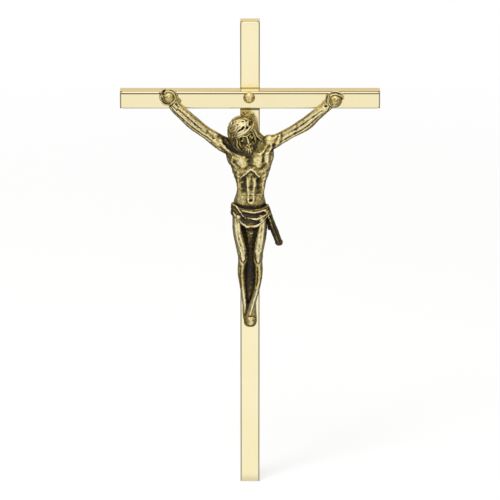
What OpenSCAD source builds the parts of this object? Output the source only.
// Wall crucifix: two folded brass bars, a cast figure and four round-headed rivets
// Millimetres, +Z up, the front faces -Y and the wall is the plane y = 0
// The origin is the centre of the nail hole in the hanging strap

/* [Bars] */
// Height of the upright bar
upright_h = 254; // [200:1:320]
// Width of the upright bar across its front face
upright_w = 10; // [9:0.5:14]
// Depth of the upright bar, front face to wall
upright_d = 7; // [6:0.5:10]
// Length of the crossbar
crossbar_l = 132.5; // [116:0.5:180]
// Height of the crossbar's front face
crossbar_w = 9; // [8.5:0.5:13]
// Depth of the crossbar, front face to rear edges
crossbar_d = 7; // [5:0.5:10]
// Drop from the upright's top end to the crossbar's centreline
crossbar_drop = 39.5; // [32:0.5:60]
// Depth of the saddle notches that let the crossbar straddle the upright
saddle_d = 0.7; // [0.4:0.1:1.5]
// Side clearance of the saddle notches
saddle_clearance = 0.15; // [0.1:0.05:0.5]

/* [Sheet] */
// Thickness of the brass sheet
sheet_t = 0.7; // [0.5:0.1:1]
// Outside radius of the folds
fold_r = 0.9; // [0.8:0.05:1.4]
// Radius of the relief holes where three folds meet
relief_r = 1.05; // [0.9:0.05:1.4]
// Depth of the relief holes' centres behind the outer faces
relief_in = 0.85; // [0.6:0.05:1.2]

/* [Hanging strap] */
// Length of the strap along the upright
strap_l = 13; // [9:0.5:20]
// Thickness of the strap
strap_t = 0.8; // [0.5:0.1:1.2]
// Depth of the strap's two ears, soldered inside the upright
strap_ear = 3.5; // [2:0.5:4]
// Radius of the nail hole
nail_hole_r = 2; // [1.5:0.1:2.5]
// Drop from the upright's top end to the nail hole
nail_hole_drop = 12; // [10:0.5:20]

/* [Rivets] */
// Radius of the rivet shanks
shank_r = 1.1; // [0.8:0.1:1.4]
// Radial clearance of the shanks in their holes
shank_clearance = 0.08; // [0.05:0.01:0.15]
// Radius of the set tails behind the sheet
tail_r = 1.5; // [1.4:0.1:1.7]
// Height of the set tails
tail_h = 0.9; // [0.6:0.1:1.2]
// Radius of the centre rivet's head
centre_head_r = 3.05; // [2:0.1:4]
// Height of the centre rivet's head
centre_head_h = 2.3; // [1:0.1:3]
// Radius of the hand rivets' heads, left and right as the viewer sees them
hand_head_r = [2.85, 3.15];
// Height of the hand rivets' heads
hand_head_h = 1.9; // [1:0.1:3]
// Radius of the foot rivet's head
foot_head_r = 2.5; // [1.6:0.1:3]
// Height of the foot rivet's head
foot_head_h = 1.6; // [0.8:0.1:2.5]
// Offsets of the centre rivet from the middle of the crossing, sideways and up
centre_rivet_offset = [-0.45, 1.35];

/* [Figure] */
// Distance between the two hand rivets
arm_span = 84.8; // [70:0.1:100]
// Shift of the figure's middle to the viewer's right
arm_shift = 1; // [-2:0.1:2]
// Drop from the crossbar's centreline to each hand rivet, left and right as seen
hand_drop = [-2.2, -0.5];
// Level of the figure's datum above the crossbar's centreline
datum_rise = 1.05; // [-3:0.05:4]
// Drop from that datum to the foot rivet
figure_drop = 122.15; // [100:0.05:140]
// Sideways place of the foot rivet
foot_x = 0.4; // [-1:0.1:1]
// Thickness of the hands under their rivets
hand_t = 2.2; // [1.5:0.1:3]
// Thickness of the crossed feet under their rivet
foot_t = 4; // [3:0.1:5]
// Gap between the casting's ground back and the bars
seat_gap = 0.03; // [0.02:0.01:0.1]
// Height of the head, crown to chin
head_h = 19; // [16:0.5:22]

/* [Hidden] */

// How far every cut runs past what it cuts
overrun = 1;
round_fn = 48;

top_z = nail_hole_drop;
bottom_z = top_z - upright_h;
crossbar_z = top_z - crossbar_drop;
upright_face = -upright_d;
crossbar_back = upright_face + saddle_d;
crossbar_face = crossbar_back - crossbar_d;

hand_x = [arm_shift - arm_span / 2, arm_shift + arm_span / 2];
hand_z = [crossbar_z - hand_drop[0], crossbar_z - hand_drop[1]];
datum_z = crossbar_z + datum_rise;
foot_z = datum_z - figure_drop;
hand_front = crossbar_face - seat_gap - hand_t;
foot_front = upright_face - seat_gap - foot_t;
hole_r = shank_r + shank_clearance;

brass = "#e8d08a";
antique = "#8d7a3e";
rivet_brass = "#cdae5a";

// Folded bar along Z from z = 0, open at the back, closed by folded flaps at both ends
module fold_profile(w, d, r) {
    translate([-w / 2, -d + r]) square([w, d - r]);
    translate([-w / 2 + r, -d]) square([w - 2 * r, d]);
    for (side = [-1, 1])
        translate([side * (w / 2 - r), -d + r]) circle(r = r, $fn = round_fn);
}

module end_profile(l, d, r) {
    translate([-d + r, 0]) square([d - r, l]);
    translate([-d, r]) square([d, l - 2 * r]);
    for (z = [r, l - r])
        translate([-d + r, z]) circle(r = r, $fn = round_fn);
}

module rounded_block(l, w, d, r) {
    intersection() {
        linear_extrude(l) fold_profile(w, d, r);
        translate([-w / 2, 0, 0]) rotate([90, 0, 90]) linear_extrude(w) end_profile(l, d, r);
    }
}

module folded_bar(l, w, d) {
    difference() {
        rounded_block(l, w, d, fold_r);
        translate([0, 0, sheet_t])
            rounded_block(l - 2 * sheet_t, w - 2 * sheet_t, d - sheet_t, fold_r - sheet_t);
        translate([-w / 2 + sheet_t, -sheet_t, sheet_t])
            cube([w - 2 * sheet_t, sheet_t + overrun, l - 2 * sheet_t]);
        corner_reliefs(l, w, d);
    }
}

// Relief holes that keep the sheet from tearing where two side folds meet an end flap
module corner_reliefs(l, w, d) {
    for (x = [-1, 1], z = [relief_in, l - relief_in])
        translate([x * (w / 2 - relief_in), -d + relief_r, z]) sphere(r = relief_r, $fn = round_fn);
}

module shank_hole(x, y, z) {
    translate([x, y + overrun, z]) rotate([90, 0, 0])
        cylinder(r = hole_r, h = sheet_t + 2 * overrun, $fn = round_fn);
}

module upright_bar() {
    color(brass) difference() {
        translate([0, 0, bottom_z]) folded_bar(upright_h, upright_w, upright_d);
        shank_hole(centre_rivet_offset[0], upright_face + sheet_t, crossbar_z + centre_rivet_offset[1]);
        shank_hole(foot_x, upright_face + sheet_t, foot_z);
    }
}

module crossbar() {
    notch_w = upright_w + 2 * saddle_clearance;
    color(brass) difference() {
        translate([-crossbar_l / 2, crossbar_back, crossbar_z]) rotate([0, 90, 0])
            folded_bar(crossbar_l, crossbar_w, crossbar_d);
        translate([-notch_w / 2, upright_face, crossbar_z - crossbar_w / 2 - overrun])
            cube([notch_w, saddle_d + overrun, crossbar_w + 2 * overrun]);
        shank_hole(centre_rivet_offset[0], crossbar_face + sheet_t, crossbar_z + centre_rivet_offset[1]);
        for (side = [0, 1])
            shank_hole(hand_x[side], crossbar_face + sheet_t, hand_z[side]);
    }
}

// Strip bridging the open back, its two ears soldered to the upright's side walls
module hanging_strap() {
    inside_w = upright_w - 2 * sheet_t;
    color(brass) difference() {
        translate([-inside_w / 2, -strap_ear, -strap_l / 2]) cube([inside_w, strap_ear, strap_l]);
        translate([-inside_w / 2 + strap_t, -strap_ear - overrun, -strap_l / 2 - overrun])
            cube([inside_w - 2 * strap_t, strap_ear - strap_t + overrun, strap_l + 2 * overrun]);
        translate([0, overrun, 0]) rotate([90, 0, 0])
            cylinder(r = nail_hole_r, h = strap_t + 2 * overrun, $fn = round_fn);
    }
}

// Rivet along +Y from the seat of its head: a domed head, a shank and a set tail
module rivet(head_r, head_h, grip) {
    dome_r = (head_r * head_r + head_h * head_h) / (2 * head_h);
    tail_top_share = 0.6;
    rotate([90, 0, 0]) {
        intersection() {
            translate([0, 0, head_h - dome_r]) sphere(r = dome_r, $fn = round_fn);
            cylinder(r = head_r, h = head_h, $fn = round_fn);
        }
        translate([0, 0, -grip]) cylinder(r = shank_r, h = grip, $fn = round_fn);
        translate([0, 0, -grip - tail_h])
            cylinder(r1 = tail_r * tail_top_share, r2 = tail_r, h = tail_h, $fn = round_fn);
    }
}

// Flats that the hammer left round a head, cut from its dome
module hammer_flats(head_r, head_h, count, lean) {
    flat_depth_share = 0.93;
    dome_r = (head_r * head_r + head_h * head_h) / (2 * head_h);
    rotate([90, 0, 0]) translate([0, 0, head_h - dome_r])
        for (i = [0:count - 1])
            rotate([0, lean, 360 / count * i + lean])
                translate([-head_r, -head_r, dome_r * flat_depth_share])
                    cube([2 * head_r, 2 * head_r, head_h]);
}

module hammered_rivet(head_r, head_h, grip, count, lean) {
    difference() {
        rivet(head_r, head_h, grip);
        hammer_flats(head_r, head_h, count, lean);
    }
}

module centre_rivet() {
    color(rivet_brass)
        translate([centre_rivet_offset[0], crossbar_face, crossbar_z + centre_rivet_offset[1]])
            rivet(centre_head_r, centre_head_h, upright_face + sheet_t - crossbar_face);
}

// Number of hammer flats on the left hand, right hand and foot rivets, and their lean in degrees
hammer_counts = [5, 6, 5];
hammer_leans = [24, 21, 26];

module left_hand_rivet() {
    color(rivet_brass) translate([hand_x[0], hand_front, hand_z[0]])
        hammered_rivet(hand_head_r[0], hand_head_h, hand_t + seat_gap + sheet_t, hammer_counts[0],
            hammer_leans[0]);
}

module right_hand_rivet() {
    color(rivet_brass) translate([hand_x[1], hand_front, hand_z[1]])
        hammered_rivet(hand_head_r[1], hand_head_h, hand_t + seat_gap + sheet_t, hammer_counts[1],
            hammer_leans[1]);
}

module foot_rivet() {
    color(rivet_brass) translate([foot_x, foot_front, foot_z])
        hammered_rivet(foot_head_r, foot_head_h, foot_t + seat_gap + sheet_t, hammer_counts[2],
            hammer_leans[2]);
}

// The cast figure: lofts through rings, whose tables are shares of the figure's drop
// Depths are counted from the upright's face towards the viewer
function sum(list, i = 0) = i < len(list) ? list[i] + sum(list, i + 1) : 0;
function mean(points) = [for (k = [0:2]) sum([for (p = points) p[k]]) / len(points)];
function clamp(v, low, high) = max(low, min(high, v));
function bell(v, width) = exp(-pow(v / width, 2));

// Smooth curve through a table's rows, t from 0 to the last row's number
function along(rows, t) =
    let (last = len(rows) - 1, i = clamp(floor(t), 0, last - 1), f = t - i,
        a = rows[max(i - 1, 0)], b = rows[i], c = rows[i + 1], d = rows[min(i + 2, last)])
    b + 0.5 * f * (c - a + f * (2 * a - 5 * b + 4 * c - d + f * (3 * (b - c) + d - a)));

// Closed skin over rings of equally many points
module skin(rings) {
    n = len(rings[0]);
    m = len(rings);
    points = concat([for (r = rings) each r], [mean(rings[0]), mean(rings[m - 1])]);
    walls = [for (i = [0:m - 2], j = [0:n - 1])
        let (a = i * n + j, b = i * n + (j + 1) % n) each [[a, b, b + n], [a, b + n, a + n]]];
    first_cap = [for (j = [0:n - 1]) [m * n, (j + 1) % n, j]];
    last_cap = [for (j = [0:n - 1]) [m * n + 1, (m - 1) * n + j, (m - 1) * n + (j + 1) % n]];
    polyhedron(points = points, faces = concat(walls, first_cap, last_cap), convexity = 6);
}

// A place on the figure from its shares: sideways, depth and drop
function place(s) =
    [s[0] * figure_drop, upright_face - s[1] * figure_drop, datum_z - s[2] * figure_drop];

// Angles of a level ring's points, the greater share of them on the front
front_point_share = 0.72;
function ring_angle(j, n) =
    let (behind = round(n * (1 - front_point_share)))
    j < behind ? -180 * j / behind : -180 - 180 * (j - behind) / (n - behind);

// One level ring: sideways place, depth, drop, half width, half depth in front and behind
function level_ring(row, n, relief) = [for (j = [0:n - 1])
    let (a = ring_angle(j, n), c = cos(a), s = sin(a), x = row[0] + row[3] * c,
        bulge = s > 0 ? relief(x, row[2]) * s : 0)
    place([x, row[1] + (s > 0 ? row[4] : row[5]) * s + bulge, row[2]])];

module body_loft(rows, steps, n, relief) {
    last = len(rows) - 1;
    skin([for (k = [0:steps]) level_ring(along(rows, last * k / steps), n, relief)]);
}

no_relief = function (x, drop) 0;

// Tube round a path of places, each row a place and a radius
function tube_ring(a, b, c, r, n, squash) =
    let (t = c - a, dir = t / norm(t), side = cross(dir, [0, 1, 0]),
        u = side / norm(side), v = cross(dir, u))
    [for (j = [0:n - 1]) b + r * (cos(360 / n * j) * u - squash * sin(360 / n * j) * v)];

module tube(path, radii, n, squash = 1) {
    last = len(path) - 1;
    skin([for (k = [0:last])
        tube_ring(path[max(k - 1, 0)], path[k], path[min(k + 1, last)], radii[k], n, squash)]);
}

module lump(at, size, fn = 16) {
    translate(at) scale(size) sphere(r = 1, $fn = fn);
}

module link(a, b, ra, rb, fn = 5) {
    hull() {
        translate(a) sphere(r = ra, $fn = fn);
        translate(b) sphere(r = rb, $fn = fn);
    }
}

// Torso from the neck to the seat: x, depth, drop, half width, front, back
torso_shares = [
    [-0.013, 0.040, 0.160, 0.030, 0.018, 0.022], [-0.012, 0.040, 0.176, 0.068, 0.022, 0.030],
    [-0.010, 0.040, 0.195, 0.094, 0.027, 0.036], [-0.007, 0.040, 0.228, 0.103, 0.032, 0.038],
    [0.000, 0.040, 0.262, 0.097, 0.034, 0.038], [0.004, 0.040, 0.300, 0.086, 0.033, 0.038],
    [0.004, 0.040, 0.335, 0.075, 0.030, 0.037], [0.004, 0.039, 0.370, 0.064, 0.027, 0.036],
    [0.004, 0.039, 0.398, 0.059, 0.026, 0.035], [0.000, 0.039, 0.424, 0.059, 0.028, 0.035],
    [-0.002, 0.040, 0.455, 0.068, 0.030, 0.036], [-0.002, 0.040, 0.500, 0.074, 0.032, 0.037],
    [-0.001, 0.038, 0.540, 0.070, 0.022, 0.035], [0.000, 0.030, 0.566, 0.052, 0.010, 0.028],
    [0.000, 0.022, 0.590, 0.030, 0.008, 0.020]];

// Muscles of the torso: x, drop, half width, half height, rise
muscle_shares = [
    [-0.040, 0.252, 0.032, 0.024, 0.018], [0.046, 0.248, 0.032, 0.024, 0.018],
    [-0.056, 0.314, 0.022, 0.012, 0.008], [0.062, 0.310, 0.022, 0.012, 0.008],
    [-0.054, 0.346, 0.018, 0.010, 0.007], [0.058, 0.342, 0.018, 0.010, 0.007],
    [-0.012, 0.390, 0.009, 0.050, 0.016], [0.019, 0.390, 0.009, 0.050, 0.016],
    [0.003, 0.434, 0.018, 0.014, 0.010], [0.003, 0.440, 0.005, 0.006, -0.014],
    [-0.044, 0.400, 0.012, 0.045, 0.010], [0.050, 0.400, 0.012, 0.045, 0.010],
    [0.002, 0.250, 0.009, 0.034, -0.012]];

// The arch under the ribs falls from its apex on both sides, with the hollow of the belly below it
arch_apex_share = [0.004, 0.292];
arch_fall_share = 0.85;
arch_rise_share = 0.016;
arch_line_share = 0.013;
arch_width_share = 0.045;
belly_hollow_share = 0.022;
belly_middle_share = 0.370;
belly_length_share = 0.070;

function torso_relief(x, drop) =
    let (off = x - arch_apex_share[0], below = drop - arch_apex_share[1] - arch_fall_share * abs(off))
    sum([for (m = muscle_shares) m[4] * bell(x - m[0], m[2]) * bell(drop - m[1], m[3])])
        + arch_rise_share * bell(off, arch_width_share) * bell(below, arch_line_share)
        - belly_hollow_share * bell(off, arch_width_share)
            * bell(drop - belly_middle_share, belly_length_share) * clamp(below / arch_line_share, 0, 1);

// Legs from the hip to the ankle, the same columns as the torso
left_leg_shares = [
    [-0.048, 0.040, 0.510, 0.027, 0.034, 0.036], [-0.0525, 0.042, 0.556, 0.0225, 0.034, 0.038],
    [-0.0490, 0.045, 0.598, 0.0235, 0.031, 0.040], [-0.0405, 0.049, 0.635, 0.0245, 0.028, 0.040],
    [-0.0335, 0.055, 0.675, 0.023, 0.025, 0.034], [-0.0295, 0.058, 0.704, 0.0215, 0.023, 0.028],
    [-0.0325, 0.053, 0.732, 0.0185, 0.019, 0.026], [-0.0355, 0.046, 0.765, 0.0178, 0.016, 0.026],
    [-0.0345, 0.039, 0.798, 0.0165, 0.014, 0.022], [-0.0310, 0.033, 0.838, 0.0140, 0.013, 0.018],
    [-0.0275, 0.029, 0.875, 0.0118, 0.012, 0.014], [-0.0235, 0.026, 0.912, 0.0112, 0.011, 0.012],
    [-0.0160, 0.020, 0.950, 0.0150, 0.009, 0.012]];
right_leg_shares = [
    [0.047, 0.040, 0.510, 0.027, 0.034, 0.036], [0.0510, 0.042, 0.556, 0.0220, 0.034, 0.038],
    [0.0475, 0.045, 0.598, 0.0240, 0.031, 0.040], [0.0405, 0.049, 0.635, 0.0250, 0.028, 0.040],
    [0.0350, 0.056, 0.675, 0.0225, 0.025, 0.034], [0.0335, 0.060, 0.704, 0.0210, 0.023, 0.028],
    [0.0350, 0.056, 0.732, 0.0180, 0.019, 0.026], [0.0370, 0.050, 0.765, 0.0178, 0.016, 0.026],
    [0.0360, 0.045, 0.798, 0.0162, 0.014, 0.022], [0.0315, 0.042, 0.838, 0.0140, 0.013, 0.018],
    [0.0235, 0.041, 0.875, 0.0130, 0.012, 0.014], [0.0130, 0.039, 0.912, 0.0140, 0.011, 0.014],
    [0.0060, 0.032, 0.950, 0.0210, 0.011, 0.018]];

// Thin web that the mould leaves between the legs
web_shares = [
    [0.000, 0.010, 0.560, 0.040, 0.020, 0.010], [0.002, 0.010, 0.640, 0.032, 0.018, 0.010],
    [0.002, 0.010, 0.720, 0.030, 0.016, 0.010], [0.001, 0.010, 0.800, 0.032, 0.012, 0.010],
    [-0.002, 0.008, 0.880, 0.024, 0.009, 0.008], [-0.004, 0.006, 0.940, 0.016, 0.006, 0.006]];

module torso() {
    body_loft(torso_shares, 34, 29, function (x, drop) torso_relief(x, drop));
}

module legs() {
    body_loft(left_leg_shares, 15, 12, no_relief);
    body_loft(right_leg_shares, 15, 12, no_relief);
    body_loft(web_shares, 5, 8, no_relief);
    knee_shares = [[-0.0290, 0.074, 0.708], [0.0335, 0.076, 0.712]];
    knee_size_share = [0.0135, 0.010, 0.019];
    for (k = knee_shares)
        lump(place(k), knee_size_share * figure_drop);
}

// Feet, one crossed over the other, toes down: x, depth, drop, half width, front, back
lower_foot_shares = [
    [-0.020, 0.024, 0.930, 0.0125, 0.010, 0.020], [-0.015, 0.017, 0.965, 0.0170, 0.009, 0.017],
    [-0.010, 0.011, 1.000, 0.0190, 0.007, 0.011], [-0.006, 0.007, 1.024, 0.0140, 0.004, 0.007]];
upper_foot_shares = [
    [0.010, 0.036, 0.925, 0.0150, 0.012, 0.030], [0.005, 0.030, 0.955, 0.0210, 0.013, 0.030],
    [0.002, 0.023, 0.985, 0.0270, 0.011, 0.023], [0.001, 0.018, 1.010, 0.0280, 0.009, 0.018],
    [0.001, 0.014, 1.026, 0.0240, 0.006, 0.014], [0.001, 0.012, 1.036, 0.0140, 0.003, 0.012]];
toe_count = 5;
toe_spread_share = 0.020;
toe_size_share = [0.0052, 0.008, 0.010];

module feet() {
    body_loft(lower_foot_shares, 5, 10, no_relief);
    body_loft(upper_foot_shares, 8, 13, no_relief);
    for (i = [0:toe_count - 1])
        let (s = 2 * i / (toe_count - 1) - 1)
            lump(place([s * toe_spread_share, 0.012, 1.026 - 0.010 * s * s]),
                toe_size_share * figure_drop, 10);
}

// Arms from the shoulders to the wrists: share of the way, sag, depth and radius
shoulder_shares = [[-0.104, 0.038, 0.200], [0.078, 0.038, 0.198]];
left_arm_shares = [
    [-0.12, 0.02, 0.000, 0.0290], [0.02, 0.036, 0.000, 0.0325], [0.18, 0.052, 0.004, 0.0300],
    [0.33, 0.064, 0.006, 0.0264], [0.45, 0.072, 0.007, 0.0275], [0.58, 0.077, 0.006, 0.0290],
    [0.72, 0.068, 0.004, 0.0272], [0.84, 0.070, 0.002, 0.0245], [0.93, 0.050, 0.000, 0.0220]];
right_arm_shares = [
    [-0.12, 0.02, 0.000, 0.0280], [0.02, 0.024, 0.000, 0.0305], [0.18, 0.036, 0.004, 0.0262],
    [0.33, 0.044, 0.006, 0.0246], [0.45, 0.052, 0.007, 0.0268], [0.58, 0.055, 0.006, 0.0285],
    [0.72, 0.028, 0.004, 0.0245], [0.84, 0.016, 0.002, 0.0215], [0.93, 0.010, 0.000, 0.0200]];

arm_squash = 0.92;

function palm(side) = [hand_x[side], crossbar_face - seat_gap - hand_t / 2, hand_z[side]];

function arm_path(side, rows) =
    let (s = place(shoulder_shares[side]), h = palm(side), reach = norm(h - s))
    [for (r = rows) s + r[0] * (h - s) + [0, -r[2] * figure_drop, -r[1] * reach]];

module arm(side, rows) {
    steps = 15;
    n = 11;
    last = len(rows) - 1;
    fine = [for (k = [0:steps]) along(rows, last * k / steps)];
    tube(arm_path(side, fine), [for (r = fine) r[3] * figure_drop], n, arm_squash);
}

// Hand: a palm round the rivet, its fingers bent over the rivet's upper side, the thumb beside the wrist
palm_size_share = [0.036, 0.034];
finger_r_share = 0.0062;
// Inner and outer fingers: distance from the rivet's head in finger radii, and how far they stand out
finger_row_shares = [0.9, 1.7];
finger_lift_shares = [0.0085, 0.004];
finger_start_angle = 150;
finger_end_angles = [28, 12];
finger_links = 4;
thumb_shares = [[-0.030, -0.018], [-0.008, -0.032]];

function round_rivet(radius, angle, lift) = [radius * cos(angle), -lift * figure_drop, radius * sin(angle)];

module finger(ring, lift, end_angle) {
    step = (end_angle - finger_start_angle) / finger_links;
    r = finger_r_share * figure_drop;
    for (i = [0:finger_links - 1])
        let (a = finger_start_angle + i * step)
            link(round_rivet(ring, a, lift), round_rivet(ring, a + step, lift), r, r);
}

module hand(side, aim) {
    mirror_way = side == 0 ? -1 : 1;
    palm_size = palm_size_share * figure_drop;
    r = finger_r_share * figure_drop;
    translate(palm(side)) rotate([0, -mirror_way * aim, 0]) scale([mirror_way, 1, 1]) {
        lump([0, 0, 0], [palm_size[0], hand_t / 2 + r, palm_size[1]], 14);
        for (i = [0, 1])
            finger(hand_head_r[side] + shank_clearance + finger_row_shares[i] * r, finger_lift_shares[i],
                finger_end_angles[i]);
        thumb = [for (t = thumb_shares) [t[0], -finger_lift_shares[0], t[1]] * figure_drop];
        link(thumb[0], thumb[1], r, r);
    }
}

// Head in its own frame: shares of its height from its middle, the face towards -Y
head_shares = [-0.022, 0.054, 0.152];
head_roll = -15;
head_pitch = 6;
head_yaw = 10;
brow_share = [0.235, 0.285, 0.30];
brow_at_share = [0, 0.01, 0.08];
jaw_share = [0.205, 0.25, 0.27];
jaw_at_share = [0, -0.07, -0.20];

// Features of a plain face: place, size and lean of each lump
face_shares = [
    [[0, -0.285, 0.085], [0.150, 0.045, 0.030], 0], [[0, -0.315, -0.010], [0.034, 0.055, 0.095], 0],
    [[0, -0.350, -0.075], [0.044, 0.040, 0.030], 0], [[-0.105, -0.260, 0.020], [0.060, 0.045, 0.032], 0],
    [[0.105, -0.260, 0.020], [0.060, 0.045, 0.032], 0], [[-0.120, -0.235, -0.070], [0.065, 0.060, 0.060], 0],
    [[0.120, -0.235, -0.070], [0.065, 0.060, 0.060], 0], [[0, -0.305, -0.200], [0.070, 0.035, 0.018], 0],
    [[-0.055, -0.310, -0.150], [0.070, 0.030, 0.022], -20],
    [[0.055, -0.310, -0.150], [0.070, 0.030, 0.022], 20]];

// Hair masses: x, depth, height, half width and half depth of rings from the top down
cap_shares = [
    [-0.08, 0.08, 0.535, 0.05, 0.06], [-0.08, 0.07, 0.515, 0.15, 0.17],
    [-0.055, 0.05, 0.450, 0.250, 0.29], [-0.05, 0.03, 0.355, 0.310, 0.355],
    [-0.065, 0.03, 0.230, 0.355, 0.36], [-0.08, 0.09, 0.100, 0.375, 0.28],
    [-0.085, 0.12, -0.050, 0.365, 0.24], [-0.06, 0.13, -0.220, 0.325, 0.19],
    [-0.02, 0.11, -0.380, 0.215, 0.12]];
left_fall_shares = [
    [-0.30, 0.00, 0.240, 0.09, 0.20], [-0.345, -0.02, 0.120, 0.12, 0.22],
    [-0.345, -0.02, -0.020, 0.13, 0.20], [-0.32, -0.03, -0.180, 0.13, 0.17],
    [-0.26, -0.06, -0.330, 0.12, 0.14], [-0.19, -0.09, -0.450, 0.07, 0.08]];
right_fall_shares = [
    [0.25, 0.00, 0.240, 0.05, 0.20], [0.29, -0.01, 0.120, 0.07, 0.21], [0.31, -0.01, -0.020, 0.08, 0.18],
    [0.35, -0.02, -0.170, 0.09, 0.15], [0.42, -0.03, -0.290, 0.10, 0.12], [0.49, -0.03, -0.380, 0.06, 0.07]];
strand_share = 0.07;
strand_twist = 30;

module hair_mass(rows, rings, n, strands) {
    last = len(rows) - 1;
    skin([for (k = [0:rings])
        let (r = along(rows, last * k / rings))
        [for (j = [0:n - 1])
            let (a = 360 / n * j, wave = 1 + strand_share * cos(strands * a + strand_twist * k))
            [r[0] + r[3] * wave * cos(a), r[1] + r[4] * wave * sin(a), r[2]] * head_h]]);
}

beard_shares = [
    [0.00, -0.16, -0.150, 0.14, 0.12], [0.00, -0.16, -0.230, 0.20, 0.16], [0.00, -0.16, -0.330, 0.17, 0.15],
    [0.00, -0.16, -0.430, 0.11, 0.10], [0.00, -0.17, -0.510, 0.05, 0.05]];

module hair() {
    hair_mass(cap_shares, 10, 33, 11);
    hair_mass(left_fall_shares, 7, 15, 5);
    hair_mass(right_fall_shares, 7, 15, 5);
    hair_mass(beard_shares, 5, 18, 6);
}

// Plaited wreath: a twisted ring of three lobes that slopes up behind, wider on the viewer's left
wreath_share = [0.325, 0.350];
wreath_x_share = -0.035;
wreath_r_share = 0.062;
wreath_lobe_share = 0.24;
wreath_level_share = 0.245;
wreath_slope_share = 0.03;

module wreath() {
    turns = 4;
    steps = 32;
    n = 9;
    points = [for (k = [0:steps - 1], j = [0:n - 1])
        let (a = 360 * k / steps, b = 360 * j / n,
            r = wreath_r_share * (1 + wreath_lobe_share * cos(3 * (b + turns * a))))
        [wreath_x_share + (wreath_share[0] + r * cos(b)) * cos(a), (wreath_share[1] + r * cos(b)) * sin(a),
            wreath_level_share + wreath_slope_share * sin(a) + r * sin(b)] * head_h];
    faces = [for (k = [0:steps - 1], j = [0:n - 1])
        let (a = k * n + j, b = k * n + (j + 1) % n, c = (k + 1) % steps * n + j,
            d = (k + 1) % steps * n + (j + 1) % n) each [[a, b, c], [b, d, c]]];
    polyhedron(points = points, faces = faces, convexity = 6);
}

module head() {
    neck_r_share = 0.20;
    neck_top_share = [0, 0, -0.15];
    neck_foot_share = [0.05, 0.10, -0.45];
    translate(place(head_shares)) {
        rotate([head_pitch, head_roll, head_yaw]) {
            lump(brow_at_share * head_h, brow_share * head_h, 16);
            lump(jaw_at_share * head_h, jaw_share * head_h, 14);
            for (f = face_shares)
                translate(f[0] * head_h) rotate([0, f[2], 0]) lump([0, 0, 0], f[1] * head_h, 8);
            hair();
            wreath();
        }
        link(neck_top_share * head_h, neck_foot_share * head_h, neck_r_share * head_h,
            neck_r_share * head_h, 12);
    }
}

// Loincloth: a wrap round the hips whose swags are ridges that dip across the front
cloth_shares = [[-0.002, 0.040, 0.079, 0.038, 0.0375], [0.000, 0.041, 0.080, 0.039, 0.0385]];
cloth_top_share = [0.466, 0.474, 0.013];
cloth_hem_share = [0.512, 0.516, 0.046];
tuck_share = 0.9;
// Each swag: drop at its left end, at its right end, dip between them, rise and half height
swag_shares = [
    [0.456, 0.530, 0.010, 0.007, 0.006], [0.484, 0.484, 0.010, 0.006, 0.005],
    [0.500, 0.500, 0.024, 0.009, 0.006], [0.507, 0.511, 0.045, 0.009, 0.006]];

function swag_drop(left, right, dip, s) = left + (right - left) * s + dip * 4 * s * (1 - s);

function cloth_ring(level, n) = [for (j = [0:n - 1])
    let (a = ring_angle(j, n), c = cos(a), s = sin(a), across = (1 + c) / 2, front = s > 0 ? 1 : 0,
        top = swag_drop(cloth_top_share[0], cloth_top_share[1], cloth_top_share[2] * front, across),
        hem = swag_drop(cloth_hem_share[0], cloth_hem_share[1], cloth_hem_share[2] * front, across),
        drop = top + (hem - top) * level,
        row = cloth_shares[0] + (cloth_shares[1] - cloth_shares[0]) * level,
        folds = sum([for (w = swag_shares)
            w[3] * bell(drop - swag_drop(w[0], w[1], w[2] * front, across), w[4])]),
        tuck = level == 0 || level == 1 ? tuck_share : 1)
    place([row[0] + (row[2] * tuck + folds / 2 * front) * c,
        row[1] + (s > 0 ? (row[3] + folds) * tuck : row[4]) * s, drop])];

// The cloth's tied end hangs from the hip on the viewer's right in two layers, the inner one shorter
tail_shares = [
    [0.072, 0.044, 0.484, 0.012], [0.080, 0.046, 0.512, 0.0125], [0.090, 0.048, 0.545, 0.0135],
    [0.101, 0.048, 0.580, 0.0155], [0.110, 0.048, 0.605, 0.0160], [0.118, 0.048, 0.628, 0.0150],
    [0.1235, 0.048, 0.641, 0.0170], [0.1265, 0.048, 0.652, 0.010]];
inner_tail_shares = [
    [0.070, 0.040, 0.484, 0.010], [0.079, 0.040, 0.520, 0.0125], [0.085, 0.040, 0.555, 0.0135],
    [0.088, 0.040, 0.580, 0.0135], [0.089, 0.040, 0.586, 0.008]];
pleats = 4;
pleat_share = 0.16;
tail_squash = 0.62;

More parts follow.
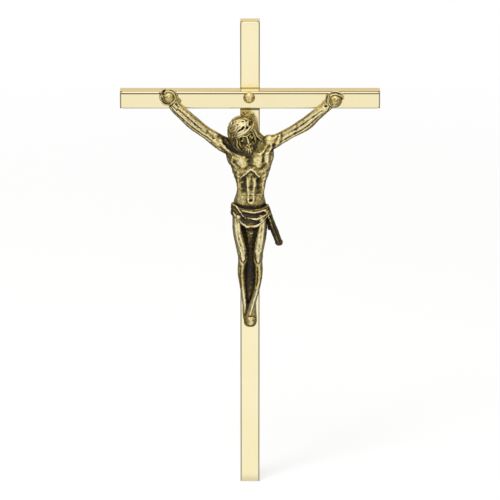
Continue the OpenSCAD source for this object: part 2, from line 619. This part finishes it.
module tail(rows, steps, n) {
    fine = [for (k = [0:steps]) along(rows, (len(rows) - 1) * k / steps)];
    centres = [for (r = fine) place(r)];
    skin([for (k = [0:steps])
        let (plain = tube_ring(centres[max(k - 1, 0)], centres[k], centres[min(k + 1, steps)],
            fine[k][3] * figure_drop, n, tail_squash))
        [for (j = [0:n - 1])
            centres[k] + (plain[j] - centres[k]) * (1 + pleat_share * cos(360 / n * j * pleats))]]);
}

module loincloth() {
    rings = 16;
    skin([for (k = [0:rings]) cloth_ring(k / rings, 27)]);
    tail(tail_shares, 10, 12);
    tail(inner_tail_shares, 5, 10);
    knot_shares = [[0.066, 0.060, 0.496], [0.075, 0.056, 0.512], [0.072, 0.054, 0.525]];
    knot_size_share = [0.016, 0.012, 0.009];
    for (k = knot_shares)
        lump(place(k), knot_size_share * figure_drop, 10);
}

// What the casting keeps clear of: the two bars, the shanks and the rivets' heads
module seats() {
    reach = upright_h;
    translate([-reach / 2, upright_face - seat_gap, bottom_z]) cube([reach, reach, reach]);
    translate([-reach / 2, crossbar_face - seat_gap, crossbar_z - crossbar_w / 2 - seat_gap])
        cube([reach, reach, crossbar_w + 2 * seat_gap]);
    for (side = [0, 1])
        translate([hand_x[side], hand_front, hand_z[side]]) rotate([90, 0, 0]) {
            cylinder(r = hand_head_r[side] + shank_clearance, h = reach, $fn = round_fn);
            translate([0, 0, -reach / 2]) cylinder(r = hole_r, h = reach, $fn = round_fn);
        }
    translate([foot_x, foot_front, foot_z]) rotate([90, 0, 0]) {
        cylinder(r = foot_head_r + shank_clearance, h = reach, $fn = round_fn);
        translate([0, 0, -reach / 2]) cylinder(r = hole_r, h = reach, $fn = round_fn);
    }
}

module corpus() {
    hand_aims = [38, 34];
    color(antique) difference() {
        union() {
            torso();
            legs();
            feet();
            arm(0, left_arm_shares);
            arm(1, right_arm_shares);
            hand(0, hand_aims[0]);
            hand(1, hand_aims[1]);
            head();
            loincloth();
        }
        seats();
    }
}

upright_bar();
crossbar();
hanging_strap();
corpus();
centre_rivet();
left_hand_rivet();
right_hand_rivet();
foot_rivet();
